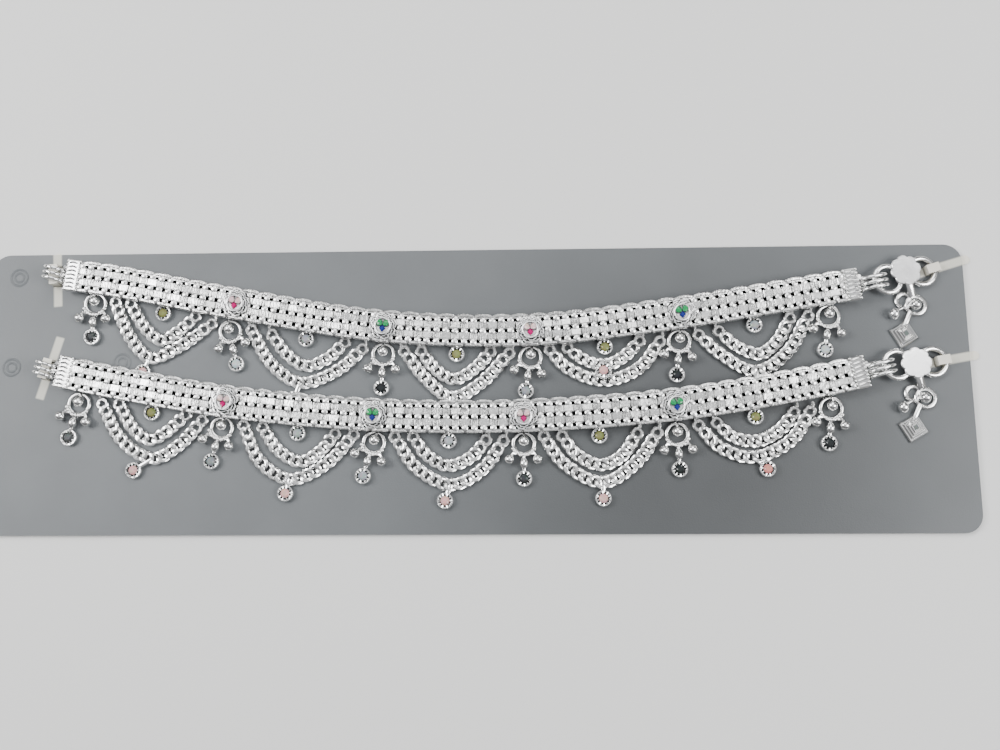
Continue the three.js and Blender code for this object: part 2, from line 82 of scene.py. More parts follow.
ANKLETS = [
    {
        "name": "upper",
        "band": [(-113.5, 33.3), (-104, 32), (-67, 24.7), (-24, 17.6), (17.5, 16.2), (60, 20.8), (98, 26.8),
                 (106.4, 28.1)],
        "flowers": [-66.7, -24.3, 17.3, 59.8],
        "clusters": [(-108.5, 25.6, -2), (-68.7, 17.1, 13), (-24.5, 10.1, -2),
                     (17.3, 8.9, -8), (59.3, 13.2, -6), (101.3, 19.9, -9)],
        "cluster_shades": [0.05, 0.95, 0.03, 0.5, 0.03, 0.9],
        "outer": [[(-102.5, 26), (-98, 16), (-91.5, 9.5), (-84, 12.3), (-74.2, 19.2)],
                  [(-62.5, 17.5), (-57, 8), (-48, 2), (-37.5, 5.5), (-30.5, 11.5)],
                  [(-18.5, 10.8), (-12.5, 3), (-5, -2.5), (3.2, 1.5), (11.3, 10)],
                  [(22.8, 10.9), (27.6, 5.6), (38, 2), (48.2, 5.8), (53.8, 13)],
                  [(64.8, 14.8), (71, 9), (80.5, 4.3), (89.4, 9.8), (95.6, 20)]],
        "inner": [[(-98, 25.5), (-94, 18.8), (-88.5, 14.6), (-83.5, 17.4), (-79, 21.5)],
                  [(-56.5, 16), (-52.5, 10.5), (-46.5, 6.8), (-40.5, 9), (-35.5, 13.5)],
                  [(-13.6, 10.8), (-10, 6), (-4.5, 2.7), (1.6, 5.8), (6, 10.5)],
                  [(27.8, 11.4), (32, 8.2), (38.2, 6.4), (43.6, 8.8), (48.1, 13.2)],
                  [(70.5, 15.8), (75, 11.7), (81.3, 9.2), (86.8, 13), (90.5, 19.4)]],
        "pink": [(-93.4, 5.4, 0), (-49.6, -2.6, 0), (-5.9, -7, 0), (37.7, 4.6, 1.5), (80.4, -0.2, 0)],
        "drops": [-88.4, -46.7, -3.6, 38.3, 80.4],
        "drop_stones": ["olive", "clear", "olive", "olive", "clear"],
        "clasp": (122.9, 31.2, 14, 0.3, 1.2),
    },
    {
        "name": "lower",
        "band": [(-114, 4.9), (-104, 2.8), (-67, -3.8), (-24, -7.8), (17.5, -8.1), (60, -5), (98, 1.2),
                 (107, 3.1)],
        "flowers": [-68.7, -26.7, 15.3, 57.5],
        "clusters": [(-111.3, -3.7, -13), (-69.9, -10.7, -15), (-26.7, -15.1, -17), (15.3, -15.6, 0),
                     (57.9, -13.2, 2), (100.6, -6.3, -7)],
        "cluster_shades": [0.12, 0.4, 0.6, 0.06, 0.03, 0.03],
        "outer": [[(-104.5, -3.7), (-98.7, -13.7), (-89, -19.3), (-81, -14.8), (-75.6, -8.6)],
                  [(-63.7, -10), (-59, -20), (-50, -25.3), (-40, -21), (-32.4, -12.9)],
                  [(-20.8, -13.5), (-15, -22), (-5, -27), (4, -22.5), (9.6, -14.8)],
                  [(20.9, -13.6), (26, -21), (37, -26.5), (47, -20.4), (52.3, -12.8)],
                  [(63.9, -10.8), (69.5, -17), (78.5, -19.8), (89, -15.2), (94.7, -7.2)]],
        "inner": [[(-99.6, -3.7), (-95.5, -10.5), (-90.5, -14), (-86, -12), (-80.3, -7)],
                  [(-58.2, -10.6), (-54.2, -16.6), (-47.5, -20.4), (-41.9, -17.6), (-37.7, -12.6)],
                  [(-15.6, -13.5), (-12, -18.6), (-6, -21.7), (1, -19), (4.7, -14.6)],
                  [(26, -13.6), (30, -18.8), (36.5, -21.7), (42.6, -19), (46.8, -13)],
                  [(68.9, -10.2), (73.5, -14.3), (80.3, -15.2), (86.8, -11.6), (90.3, -7.4)]],
        "pink": [(-94.4, -22.6, 0), (-51.2, -29.2, 0), (-6.6, -31.4, 0), (37.1, -30.9, 0), (82.3, -23, 0)],
        "drops": [-90.1, -48.3, -5.7, 36.3, 79.6],
        "drop_stones": ["olive", "clear", "clear", "olive", "olive"],
        "clasp": (124, 6, 5, 0, 0),
    },
]
# Where the ties lie under the card: middle x, y, turn in degrees, and the two ends along the turn.
TIE_ENDS = [(-120.6, 34.1, 95, -9.1, 7.2), (-121, 6.4, 75, -8.8, 9.9), (131.5, 33.3, 17, -7, 11.5),
            (132.9, 7, 10, -8.3, 10.2)]
BELLS = [(-4.0, -4.5, 1.4, 1.0), (0, -5.6, 1.2, 1.35), (3.8, -4.5, 1.4, 1.0)]


# Shape tools

class Shape:
    """Collects points and faces of one joined piece."""

    def __init__(self):
        self.points = []
        self.faces = []
        self.shades = []

    def add(self, points, faces, shade=0.5):
        start = len(self.points)
        self.points.extend(points)
        self.shades.extend([shade] * len(points))
        self.faces.extend([tuple(start + index for index in face) for face in faces])

    def finish(self, name, nodes, slot_name, material, sharp=35):
        mesh = bpy.data.meshes.new(name)
        spots = [((x + CARD_X) / 1000, (y + CARD_Y) / 1000, z / 1000) for x, y, z in self.points]
        mesh.from_pydata(spots, [], self.faces)
        # shade holds each point's colour tone; on silver pieces a shade of 0 marks painted near-black shade
        shade = mesh.attributes.new("stone_shade", "FLOAT", "POINT")
        shade.data.foreach_set("value", self.shades)
        mesh.materials.append(material)
        mesh.update()
        mesh.shade_smooth()
        mesh.set_sharp_from_angle(angle=math.radians(sharp))
        piece = bpy.data.objects.new(name, mesh)
        bpy.context.scene.collection.objects.link(piece)
        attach(piece, "root")
        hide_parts(*nodes)
        return piece


def place(points, x=0.0, y=0.0, z=0.0, turn=0.0):
    """Turns points about the vertical by degrees, then moves them."""
    c = math.cos(math.radians(turn))
    s = math.sin(math.radians(turn))
    return [(px * c - py * s + x, px * s + py * c + y, pz + z) for px, py, pz in points]


def sweep(points, width, height, sides=8, closed=False, top_flat=None):
    """A wire of elliptic section along points; top_flat cuts its top and bottom flat."""
    count = len(points)
    spots = [Vector(p) for p in points]
    rings = []
    side = None
    for i in range(count):
        before = spots[i - 1] if (closed or i > 0) else spots[i]
        after = spots[(i + 1) % count] if (closed or i < count - 1) else spots[i]
        tangent = (after - before).normalized()
        if side is None:
            side = tangent.cross(Vector((0, 0, 1)))
            if side.length < 0.1:
                side = tangent.cross(Vector((0, 1, 0)))
        side = side - tangent * side.dot(tangent)
        side.normalize()
        up = side.cross(tangent)
        for j in range(sides):
            angle = 2 * math.pi * (j + 0.5) / sides
            spot = spots[i] + side * (width / 2 * math.cos(angle)) + up * (height / 2 * math.sin(angle))
            rings.append(tuple(spot))
    faces = []
    for i in range(count if closed else count - 1):
        a = i * sides
        b = ((i + 1) % count) * sides
        for j in range(sides):
            k = (j + 1) % sides
            faces.append((a + j, a + k, b + k, b + j))
    if not closed:
        faces.append(tuple(range(sides))[::-1])
        faces.append(tuple((count - 1) * sides + j for j in range(sides)))
    if top_flat is not None:
        low, high = top_flat
        rings = [(x, y, min(max(z, low), high)) for x, y, z in rings]
    return rings, faces


def ring_path(radius, steps, z=0.0):
    """Evenly spaced spots round a level circle."""
    angles = [2 * math.pi * i / steps for i in range(steps)]
    return [(radius * math.cos(angle), radius * math.sin(angle), z) for angle in angles]


def lathe(profile, steps, wave=None):
    """Turns a list of (radius, height) about the vertical; wave(angle, radius, height) may reshape it."""
    points = []
    for r, z in profile:
        for i in range(steps):
            angle = 2 * math.pi * i / steps
            rr, zz = wave(angle, r, z) if wave else (r, z)
            points.append((rr * math.cos(angle), rr * math.sin(angle), zz))
    faces = []
    for k in range(len(profile) - 1):
        for i in range(steps):
            j = (i + 1) % steps
            faces.append((k * steps + i, k * steps + j, (k + 1) * steps + j, (k + 1) * steps + i))
    faces.append(tuple(range(steps))[::-1])
    faces.append(tuple((len(profile) - 1) * steps + i for i in range(steps)))
    return points, faces


def block(x0, x1, y0, y1, z0, z1, bevel):
    """A box whose upper edges are bevelled."""
    b = bevel
    points = [(x0, y0, z0), (x1, y0, z0), (x1, y1, z0), (x0, y1, z0),
              (x0, y0, z1 - b), (x1, y0, z1 - b), (x1, y1, z1 - b), (x0, y1, z1 - b),
              (x0 + b, y0 + b, z1), (x1 - b, y0 + b, z1), (x1 - b, y1 - b, z1), (x0 + b, y1 - b, z1)]
    faces = [(3, 2, 1, 0), (8, 9, 10, 11)]
    for i in range(4):
        j = (i + 1) % 4
        faces.append((i, j, 4 + j, 4 + i))
        faces.append((4 + i, 4 + j, 8 + j, 8 + i))
    return points, faces


def sphere(radius, x, y, z, stretch=1.0, seam=False):
    profile = []
    rows = 10
    for i in range(rows + 1):
        angle = math.pi * (i / rows - 0.5)
        grow = 1.035 if seam and i == rows // 2 else 1.0
        profile.append((max(0.02, radius * grow * math.cos(angle)), radius * math.sin(angle)))
    points, faces = lathe(profile, 16)
    # the seam runs round the bell crosswise, so the turning axis lies along y
    points = [(px + x, pz * stretch + y, -py + z) for px, py, pz in points]
    return points, faces


def smooth_route(knots, steps):
    """A centripetal curve through the knots, as evenly spaced points."""
    knots = [Vector((k[0], k[1], 0)) for k in knots]
    knots = [2 * knots[0] - knots[1]] + knots + [2 * knots[-1] - knots[-2]]
    dense = []
    for i in range(1, len(knots) - 2):
        p0, p1, p2, p3 = knots[i - 1:i + 3]
        d0 = math.sqrt((p1 - p0).length)
        d1 = math.sqrt((p2 - p1).length)
        d2 = math.sqrt((p3 - p2).length)
        t1 = ((p1 - p0) / d0 - (p2 - p0) / (d0 + d1) + (p2 - p1) / d1) * d1
        t2 = ((p2 - p1) / d1 - (p3 - p1) / (d1 + d2) + (p3 - p2) / d2) * d1
        for k in range(60):
            t = k / 60
            dense.append(p1 + t1 * t + (-3 * p1 + 3 * p2 - 2 * t1 - t2) * t ** 2
                         + (2 * p1 - 2 * p2 + t1 + t2) * t ** 3)
    dense.append(knots[-2])
    lengths = [0.0]
    for a, b in zip(dense, dense[1:]):
        lengths.append(lengths[-1] + (b - a).length)
    total = lengths[-1]
    result = []
    k = 0
    for i in range(steps + 1):
        want = total * i / steps
        while k < len(lengths) - 2 and lengths[k + 1] < want:
            k += 1
        part = (want - lengths[k]) / max(1e-9, lengths[k + 1] - lengths[k])
        result.append(dense[k].lerp(dense[k + 1], min(1.0, part)))
    return result, total


class Band:
    """The centre line of one woven band: at(u, v, w) is a spot along, across and above it."""

    def __init__(self, anklet):
        self.line, self.length = smooth_route(anklet["band"], 800)

    def at(self, u, v, w):
        step = min(max(u / self.length * 800, 0.0), 799.999)
        i = int(step)
        a, b = self.line[i], self.line[i + 1]
        spot = a.lerp(b, step - i)
        run = (self.line[min(i + 4, 800)] - self.line[max(i - 4, 0)]).normalized()
        extra = 0.0
        if u < 0:
            extra = u
        elif u > self.length:
            extra = u - self.length
        spot = spot + run * extra
        return (spot.x - run.y * v, spot.y + run.x * v, BAND_MIDDLE + w)

    def find(self, x):
        for i in range(800):
            if self.line[i + 1].x >= x:
                run = self.line[min(i + 4, 800)] - self.line[max(i - 4, 0)]
                return self.line[i].y, math.degrees(math.atan2(run.y, run.x))
        raise ValueError("That place is past the end of the band.")

    def bend(self, points):
        return [self.at(*p) for p in points]


def nodes_of(anklet, kind, count):
    """The frame's names of one anklet's numbered pieces."""
    return [f"{anklet['name']}_{kind}_{i + 1}" for i in range(count)]


# Materials

def new_material(name):
    material = bpy.data.materials.new(name)
    material.use_nodes = True
    tree = material.node_tree
    return material, tree, tree.nodes["Principled BSDF"]


def add_math(tree, operation, first, second=0.0):
    """One arithmetic step; each input is a number or another step's output."""
    node = tree.nodes.new("ShaderNodeMath")
    node.operation = operation
    for socket, value in zip(node.inputs, (first, second)):
        if isinstance(value, (int, float)):
            socket.default_value = value
        else:
            tree.links.new(value, socket)
    return node.outputs["Value"]


def silver_material(name, color, rough, grain, bump_size, bump_depth, stretch=(1, 1, 1), hollow_shade_range=(0.2, 0.7)):
    """Silver with fine hammer or cut marks, painted shade darkening its hollows, painted near-black shade where
    a point's shade is 0, and uneven polish.
    """
    material, tree, shader = new_material(name)
    nodes, links = tree.nodes, tree.links
    place_at = nodes.new("ShaderNodeTexCoord")
    scale = nodes.new("ShaderNodeMapping")
    scale.inputs["Scale"].default_value = stretch
    links.new(place_at.outputs["Object"], scale.inputs["Vector"])
    fine = nodes.new("ShaderNodeTexNoise")
    fine.inputs["Scale"].default_value = bump_size
    fine.inputs["Detail"].default_value = 4
    links.new(scale.outputs["Vector"], fine.inputs["Vector"])
    patch = nodes.new("ShaderNodeTexNoise")
    patch.inputs["Scale"].default_value = grain
    patch.inputs["Detail"].default_value = 3
    links.new(place_at.outputs["Object"], patch.inputs["Vector"])
    rough_map = nodes.new("ShaderNodeMapRange")
    rough_map.inputs["To Min"].default_value = rough * 0.7
    rough_map.inputs["To Max"].default_value = rough * 1.4
    links.new(patch.outputs["Fac"], rough_map.inputs["Value"])
    links.new(rough_map.outputs["Result"], shader.inputs["Roughness"])
    # painted shade: the colour runs to near-black where ambient occlusion finds a hollow
    hollow_shade = nodes.new("ShaderNodeAmbientOcclusion")
    hollow_shade.inputs["Distance"].default_value = 0.001
    hollow_shade.samples = 6
    ramp = nodes.new("ShaderNodeValToRGB")
    ramp.color_ramp.elements[0].position = hollow_shade_range[0]
    ramp.color_ramp.elements[0].color = (0.03, 0.03, 0.03, 1)
    ramp.color_ramp.elements[1].position = hollow_shade_range[1]
    ramp.color_ramp.elements[1].color = color
    links.new(hollow_shade.outputs["AO"], ramp.inputs["Fac"])
    # points whose shade is 0, the weave backing and the settings' hollows, are painted near-black: painted
    # shade
    shade = nodes.new("ShaderNodeAttribute")
    shade.attribute_name = "stone_shade"
    bright = nodes.new("ShaderNodeMapRange")
    bright.inputs["From Max"].default_value = 0.4
    links.new(shade.outputs["Fac"], bright.inputs["Value"])
    paint = nodes.new("ShaderNodeMix")
    paint.data_type = "RGBA"
    paint.inputs[6].default_value = (0.012, 0.012, 0.012, 1)
    links.new(bright.outputs["Result"], paint.inputs[0])
    links.new(ramp.outputs["Color"], paint.inputs[7])
    links.new(paint.outputs[2], shader.inputs["Base Color"])
    bump = nodes.new("ShaderNodeBump")
    bump.inputs["Strength"].default_value = 0.6
    bump.inputs["Distance"].default_value = bump_depth
    links.new(fine.outputs["Fac"], bump.inputs["Height"])
    links.new(bump.outputs["Normal"], shader.inputs["Normal"])
    shader.inputs["Metallic"].default_value = 1
    return material


def stone_material(name, dark, light, clearness):
    """A faceted stone whose colour runs from dark to light by its own shade."""
    material, tree, shader = new_material(name)
    nodes, links = tree.nodes, tree.links
    shade = nodes.new("ShaderNodeAttribute")
    shade.attribute_name = "stone_shade"
    mix = nodes.new("ShaderNodeMix")
    mix.data_type = "RGBA"
    mix.inputs[6].default_value = dark
    mix.inputs[7].default_value = light
    links.new(shade.outputs["Fac"], mix.inputs[0])
    place_at = nodes.new("ShaderNodeTexCoord")
    spots = nodes.new("ShaderNodeTexVoronoi")
    spots.inputs["Scale"].default_value = 1400
    links.new(place_at.outputs["Object"], spots.inputs["Vector"])
    vary = nodes.new("ShaderNodeMix")
    vary.data_type = "RGBA"
    vary.blend_type = "MULTIPLY"
    vary.inputs[0].default_value = 0.2
    links.new(mix.outputs[2], vary.inputs[6])
    links.new(spots.outputs["Color"], vary.inputs[7])
    links.new(vary.outputs[2], shader.inputs["Base Color"])
    shader.inputs["Roughness"].default_value = 0.12
    shader.inputs["IOR"].default_value = 1.42
    shader.inputs["Transmission Weight"].default_value = clearness
    shader.inputs["Coat Weight"].default_value = 0.1
    shader.inputs["Coat Roughness"].default_value = 0.03
    return material


def plastic_material(name, color, rough, marks, ties):
    """Frosted plastic; marks are (x, y, ring size) embossed rings in millimetres from the card's middle."""
    material, tree, shader = new_material(name)
    nodes, links = tree.nodes, tree.links
    place_at = nodes.new("ShaderNodeNewGeometry")
    mottle = nodes.new("ShaderNodeTexNoise")
    mottle.inputs["Scale"].default_value = 45
    mottle.inputs["Detail"].default_value = 6
    links.new(place_at.outputs["Position"], mottle.inputs["Vector"])
    ramp = nodes.new("ShaderNodeValToRGB")
    ramp.color_ramp.elements[0].position = 0.3
    ramp.color_ramp.elements[0].color = tuple(0.88 * c for c in color[:3]) + (1,)
    ramp.color_ramp.elements[1].position = 0.75
    ramp.color_ramp.elements[1].color = color
    links.new(mottle.outputs["Fac"], ramp.inputs["Fac"])
    fine = nodes.new("ShaderNodeTexNoise")
    fine.inputs["Scale"].default_value = 2600
    fine.inputs["Detail"].default_value = 3
    links.new(place_at.outputs["Position"], fine.inputs["Vector"])
    height = fine.outputs["Fac"]
    for x, y, size in marks:
        reach = nodes.new("ShaderNodeVectorMath")
        reach.operation = "DISTANCE"
        reach.inputs[1].default_value = ((x + CARD_X) / 1000, (y + CARD_Y) / 1000, CARD_TOP / 1000)
        links.new(place_at.outputs["Position"], reach.inputs[0])
        for share in (1.0, 0.55):
            gap = add_math(tree, "SUBTRACT", reach.outputs["Value"], share * size / 2000)
            ridge = nodes.new("ShaderNodeMapRange")
            ridge.inputs["From Max"].default_value = 0.0004
            ridge.inputs["To Min"].default_value = 7
            ridge.inputs["To Max"].default_value = 0
            links.new(add_math(tree, "ABSOLUTE", gap), ridge.inputs["Value"])
            height = add_math(tree, "ADD", height, ridge.outputs["Result"])
    bump = nodes.new("ShaderNodeBump")
    bump.inputs["Strength"].default_value = 0.35
    bump.inputs["Distance"].default_value = 0.00012
    links.new(height, bump.inputs["Height"])
    links.new(bump.outputs["Normal"], shader.inputs["Normal"])
    paint = ramp.outputs["Color"]
    if ties:
        paint = add_shade_patch(tree, place_at, paint)
    for tie in ties:
        paint = add_tie_shadow(tree, place_at, paint, tie)
    links.new(paint, shader.inputs["Base Color"])
    shader.inputs["Roughness"].default_value = rough
    return material


def add_shade_patch(tree, place_at, paint):
    """A broad patch of painted shade, darker where the frosted sheet lets more of the table through."""
    nodes, links = tree.nodes, tree.links
    reach = nodes.new("ShaderNodeVectorMath")
    reach.operation = "DISTANCE"
    reach.inputs[1].default_value = ((66 + CARD_X) / 1000, (-26 + CARD_Y) / 1000, 0)
    links.new(place_at.outputs["Position"], reach.inputs[0])
    fade = nodes.new("ShaderNodeMapRange")
    fade.interpolation_type = "SMOOTHSTEP"
    fade.inputs["From Min"].default_value = 0.01
    fade.inputs["From Max"].default_value = 0.11
    fade.inputs["To Min"].default_value = 0.45
    fade.inputs["To Max"].default_value = 1.0
    links.new(reach.outputs["Value"], fade.inputs["Value"])
    mix = nodes.new("ShaderNodeMix")
    mix.data_type = "RGBA"
    mix.blend_type = "MULTIPLY"
    mix.inputs[0].default_value = 1
    links.new(paint, mix.inputs[6])
    links.new(fade.outputs["Result"], mix.inputs[7])
    return mix.outputs[2]


def add_tie_shadow(tree, place_at, paint, tie):
    """Shows one tie's hidden ends through the frosted sheet as a paler bar."""
    nodes, links = tree.nodes, tree.links
    x, y, turn, left, right = tie
    shift = nodes.new("ShaderNodeMapping")
    shift.vector_type = "TEXTURE"
    shift.inputs["Location"].default_value = ((x + CARD_X) / 1000, (y + CARD_Y) / 1000, 0)
    shift.inputs["Rotation"].default_value = (0, 0, math.radians(turn))
    links.new(place_at.outputs["Position"], shift.inputs["Vector"])
    split = nodes.new("ShaderNodeSeparateXYZ")
    links.new(shift.outputs["Vector"], split.inputs[0])
    masks = []
    for axis, middle, half in (("X", (left + right) / 2000, (right - left) / 2000), ("Y", 0, 0.00125)):
        gap = add_math(tree, "SUBTRACT", split.outputs[axis], middle)
        edge = nodes.new("ShaderNodeMapRange")
        edge.inputs["From Min"].default_value = half - 0.0003
        edge.inputs["From Max"].default_value = half + 0.0002
        edge.inputs["To Min"].default_value = 1
        edge.inputs["To Max"].default_value = 0
        links.new(add_math(tree, "ABSOLUTE", gap), edge.inputs["Value"])
        masks.append(edge.outputs["Result"])
    mix = nodes.new("ShaderNodeMix")
    mix.data_type = "RGBA"
    mix.inputs[7].default_value = (0.56, 0.55, 0.48, 1)
    links.new(add_math(tree, "MULTIPLY", masks[0], masks[1]), mix.inputs[0])
    links.new(paint, mix.inputs[6])
    return mix.outputs[2]


MATERIALS = {}


def material_called(name):
    if name in MATERIALS:
        return MATERIALS[name]
    look = bpy.context.scene.anklet_look
    silver = tuple(look.silver) + (1,)
    if name == "weave":
        made = silver_material("woven silver", silver, 0.26, 500, 2200, 0.00022, (1, 0.3, 1), (0.36, 0.84))
    elif name == "chain":
        made = silver_material("bright cut silver", silver, 0.2, 500, 1500, 0.00006)
    elif name == "polished":
        made = silver_material("polished silver", silver, 0.17, 400, 900, 0.00003)
    elif name == "frosted":
        white = (0.95, 0.95, 0.95, 1)
        made = silver_material("frosted silver", white, 0.34, 900, 3000, 0.00008, (1, 1, 1), (0.3, 0.85))
    elif name == "clear":
        made = stone_material("clear stone", (0.002, 0.004, 0.005, 1), (0.62, 0.68, 0.7, 1), 0.1)
    elif name == "pink":
        made = stone_material("pink stone", (0.72, 0.26, 0.22, 1), (0.82, 0.6, 0.6, 1), 0.1)
    elif name == "olive":
        made = stone_material("olive stone", (0.14, 0.15, 0.03, 1), (0.31, 0.32, 0.14, 1), 0.1)
    elif name == "ruby":
        made = stone_material("ruby stone", (0.4, 0.0, 0.08, 1), (0.6, 0.01, 0.2, 1), 0.05)
    elif name == "green":
        made = stone_material("green stone", (0.0, 0.12, 0.03, 1), (0.01, 0.3, 0.09, 1), 0.05)
    elif name == "blue":
        made = stone_material("blue stone", (0.005, 0.01, 0.12, 1), (0.02, 0.04, 0.28, 1), 0.05)
    elif name == "card":
        marks = [(-131.9, 33.8, 4.8), (-132.1, 7.2, 4.8), (-99.9, 8.4, 4.8), (127.9, 6.4, 4.8), (127, 32, 4.8)]
        made = plastic_material("frosted card", tuple(look.card) + (1,), 0.5, marks, TIE_ENDS)
    elif name == "tie":
        made = plastic_material("cream tie", (0.8, 0.77, 0.68, 1), 0.4, [], [])
    else:
        raise ValueError("There is no material called " + name)
    MATERIALS[name] = made
    return made


# Woven band

def tip(points, rng, amount, from_height):
    """Leans the upper points a little, so that each plate or link catches the light its own way."""
    middle_x = sum(p[0] for p in points) / len(points)
    middle_y = sum(p[1] for p in points) / len(points)
    a = rng.uniform(-amount, amount)
    b = rng.uniform(-amount, amount)
    result = []
    for x, y, z in points:
        if z >= from_height:
            z += a * (x - middle_x) + b * (y - middle_y)
        result.append((x, y, z))
    return result


def add_weave(shape, band, columns):
    pitch = band.length / columns
    rng = random.Random(11)
    # a dark sheet under the weave: painted shade that shows through the slits between the plates
    shade_backing = []
    steps = 120
    for i in range(steps + 1):
        u = band.length * i / steps
        shade_backing.extend(band.bend([(u, -4.0, -1.0), (u, 4.0, -1.0), (u, 4.0, -0.5), (u, -4.0, -0.5)]))
    faces = [(i * 4 + k, i * 4 + (k + 1) % 4, i * 4 + 4 + (k + 1) % 4, i * 4 + 4 + k)
             for i in range(steps) for k in range(4)]
    faces += [(3, 2, 1, 0), tuple(steps * 4 + k for k in range(4))]
    shape.add(shade_backing, faces, 0.0)
    for column in range(columns):
        u = (column + 0.5) * pitch
        high = column % 2 == 0
        # two plate lines, laid like bricks
        for line in range(2):
            v = 1.55 if line == 0 else -1.55
            raised = high if line == 0 else not high
            top = 1.0 if raised else 0.72
            half = 0.54 * pitch if raised else 0.5 * pitch
            points, faces = block(u - half, u + half, v - 1.04, v + 1.04, -0.8, top, 0.26)
            shape.add(band.bend(tip(points, rng, 0.12, 0.3)), faces)
            if not raised:
                for k in (-0.55, 0.0, 0.55):
                    points, faces = block(u + k - 0.14, u + k + 0.14, v - 0.8, v + 0.8, 0.6, 0.86, 0.08)
                    shape.add(band.bend(points), faces)
        # rounded link wires that cross the three gap rows between the slits
        for v in (-3.1, 0.0, 3.1):
            path = [(u, v - 1.0, 0.3), (u, v - 0.6, 0.66), (u, v, 0.8), (u, v + 0.6, 0.66), (u, v + 1.0, 0.3)]
            points, faces = sweep(path, 1.72, 0.7, 10)
            shape.add(band.bend(tip(points, rng, 0.1, -1)), faces)
        # lens-shaped scallops along the top edge, each over two columns
        if column % 2 == 1:
            for bulge, width in ((1.0, 0.95), (0.25, 0.6)):
                path = []
                for k in range(13):
                    t = math.pi * k / 12
                    path.append((u - 1.06 * pitch * math.cos(t), 3.35 + bulge * math.sin(t) ** 0.8,
                                 0.3 + 0.35 * math.sin(t)))
                points, faces = sweep(path, width, 0.75, 8)
                shape.add(band.bend(points), faces)
        # straight overlapping bars along the bottom edge
        if column % 2 == 0:
            reach = 0.86 * pitch
            points, faces = block(u - reach, u + reach, -4.45, -3.5, -0.7, 0.85, 0.22)
        else:
            points, faces = block(u - 0.4 * pitch, u + 0.4 * pitch, -4.25, -3.6, -0.7, 0.55, 0.2)
        shape.add(band.bend(points), faces)


def add_cap(shape, band, at_end):
    """The folded end plate, its rope edges and its ribs."""
    start = band.length if at_end else 0.0
    way = 1 if at_end else -1

    def put(points):
        return [band.at(start + way * p[0], p[1], p[2]) for p in points]

    points, faces = block(-0.8, CAP_LENGTH - 0.8, -4.55, 4.55, -1.25, 1.2, 0.35)
    shape.add(put(points), faces if at_end else [f[::-1] for f in faces])
    for x in (-0.6, CAP_LENGTH - 1.1):
        for k in range(9):
            v = -4.2 + 8.4 * k / 8
            points, faces = sphere(0.42, x, v, 1.0)
            shape.add(put(points), faces)
    for k in range(7):
        v = -3.6 + 7.2 * k / 6
        points, faces = sweep([(0.1, v, 1.12), (1.3, v + 0.25, 1.25), (2.5, v, 1.12)], 0.62, 0.45, 6)
        shape.add(put(points), faces)


def add_coil(shape, band, at_end, length, height):
    """Three turns of wire, lying on the card, next to the end plate."""
    start = band.length if at_end else 0.0
    way = 1 if at_end else -1
    middle = CAP_LENGTH - 0.8 + length / 2 + 0.1
    path = []
    per_turn = 28
    turns = 3
    radius_long = (length - 1) / 2
    radius_high = (height - 1) / 2
    centre_high = REST + height / 2 - BAND_MIDDLE
    for i in range(per_turn * turns + 1):
        angle = 2 * math.pi * i / per_turn
        across = -2.25 + 1.5 * i / per_turn
        along = middle - radius_long * math.cos(angle)
        path.append(band.at(start + way * along, across, centre_high + radius_high * math.sin(angle)))
    points, faces = sweep(path, 1.0, 1.0, 10)
    shape.add(points, faces)
    root = [band.at(start + way * (CAP_LENGTH - 1.0 + 0.9 * k), 0.0, 0.0) for k in range(3)]
    points, faces = sweep(root, 3.8, 1.4, 8)
    shape.add(points, faces)


# Curb chain

def add_curb_chain(shape, route, pitch, rng):
    line, length = smooth_route(route, 200)
    count = max(4, round((length - 2.0) / pitch))
    height = REST + 0.72
    for i in range(count):
        along = 1.6 + (length - 3.2) * (i + 0.5) / count
        k = min(199, int(along / length * 200))
        spot = line[k]
        run = line[min(k + 3, 200)] - line[max(k - 3, 0)]
        turn = math.degrees(math.atan2(run.y, run.x))
        path = []
        for j in range(20):
            t = 2 * math.pi * j / 20
            path.append((1.6 * math.cos(t), 1.32 * math.sin(t), 0.36 * math.sin(2 * t)))
        points, faces = sweep(path, 1.22, 0.95, 8, True, (-0.66, 0.62))
        points = tip(points, rng, 0.09, -9)
        shape.add(place(points, spot.x, spot.y, height, turn + rng.uniform(-4, 4)), faces)
    # a round ring at each end, and the small link that hangs it under the band
    for spot, nearby in ((line[0], line[12]), (line[200], line[188])):
        points, faces = sweep(ring_path(1.3, 20), 1.05, 0.95, 8, True)
        shape.add(place(points, spot.x, spot.y, height), faces)
        out = (spot - nearby).normalized()
        path = [(spot.x + out.x * 1.2, spot.y + out.y * 1.2, height),
                (spot.x + out.x * 1.5, spot.y + out.y * 1.5 + 0.8, height + 0.5),
                (spot.x + out.x * 1.2, spot.y + out.y * 1.2 + 1.8, height + 0.7)]
        points, faces = sweep(path, 0.8, 0.8, 8)
        shape.add(points, faces)


# Settings and stones

def add_setting(shape, x, y, z, turn, radius=2.35, height=1.25):
    """A collar with a serrated inner edge that holds one stone."""
    teeth = 10

    # the collar's inner edge waves once for each tooth
    def toothed(angle, r, h):
        if abs(r - 0.62 * radius) < 1e-6:
            return r * (1 + 0.1 * math.cos(teeth * angle)), h
        return r, h

    profile = [(radius * 0.9, 0.0), (radius, 0.25), (radius, height - 0.3), (radius * 0.93, height),
               (radius * 0.78, height), (radius * 0.62, height - 0.25), (radius * 0.6, 0.35), (0.05, 0.3)]
    points, faces = lathe(profile, 40, toothed)
    shape.add(place(points, x, y, z, turn), faces)
    # a dark disc of painted shade that shows between the teeth
    hollow_shade = [(0.76 * radius, height - 0.28), (0.72 * radius, height + 0.01), (0.05, height + 0.01)]
    points, faces = lathe(hollow_shade, 24)
    shape.add(place(points, x, y, z, turn), faces, 0.0)
    for i in range(teeth):
        angle = 2 * math.pi * (i + 0.5) / teeth
        tip = 0.58 * radius
        base = 0.86 * radius
        points, faces = sweep([(base * math.cos(angle), base * math.sin(angle), height - 0.02),
                               (tip * math.cos(angle), tip * math.sin(angle), height + 0.06)], 0.5, 0.34, 6)
        shape.add(place(points, x, y, z, turn), faces)


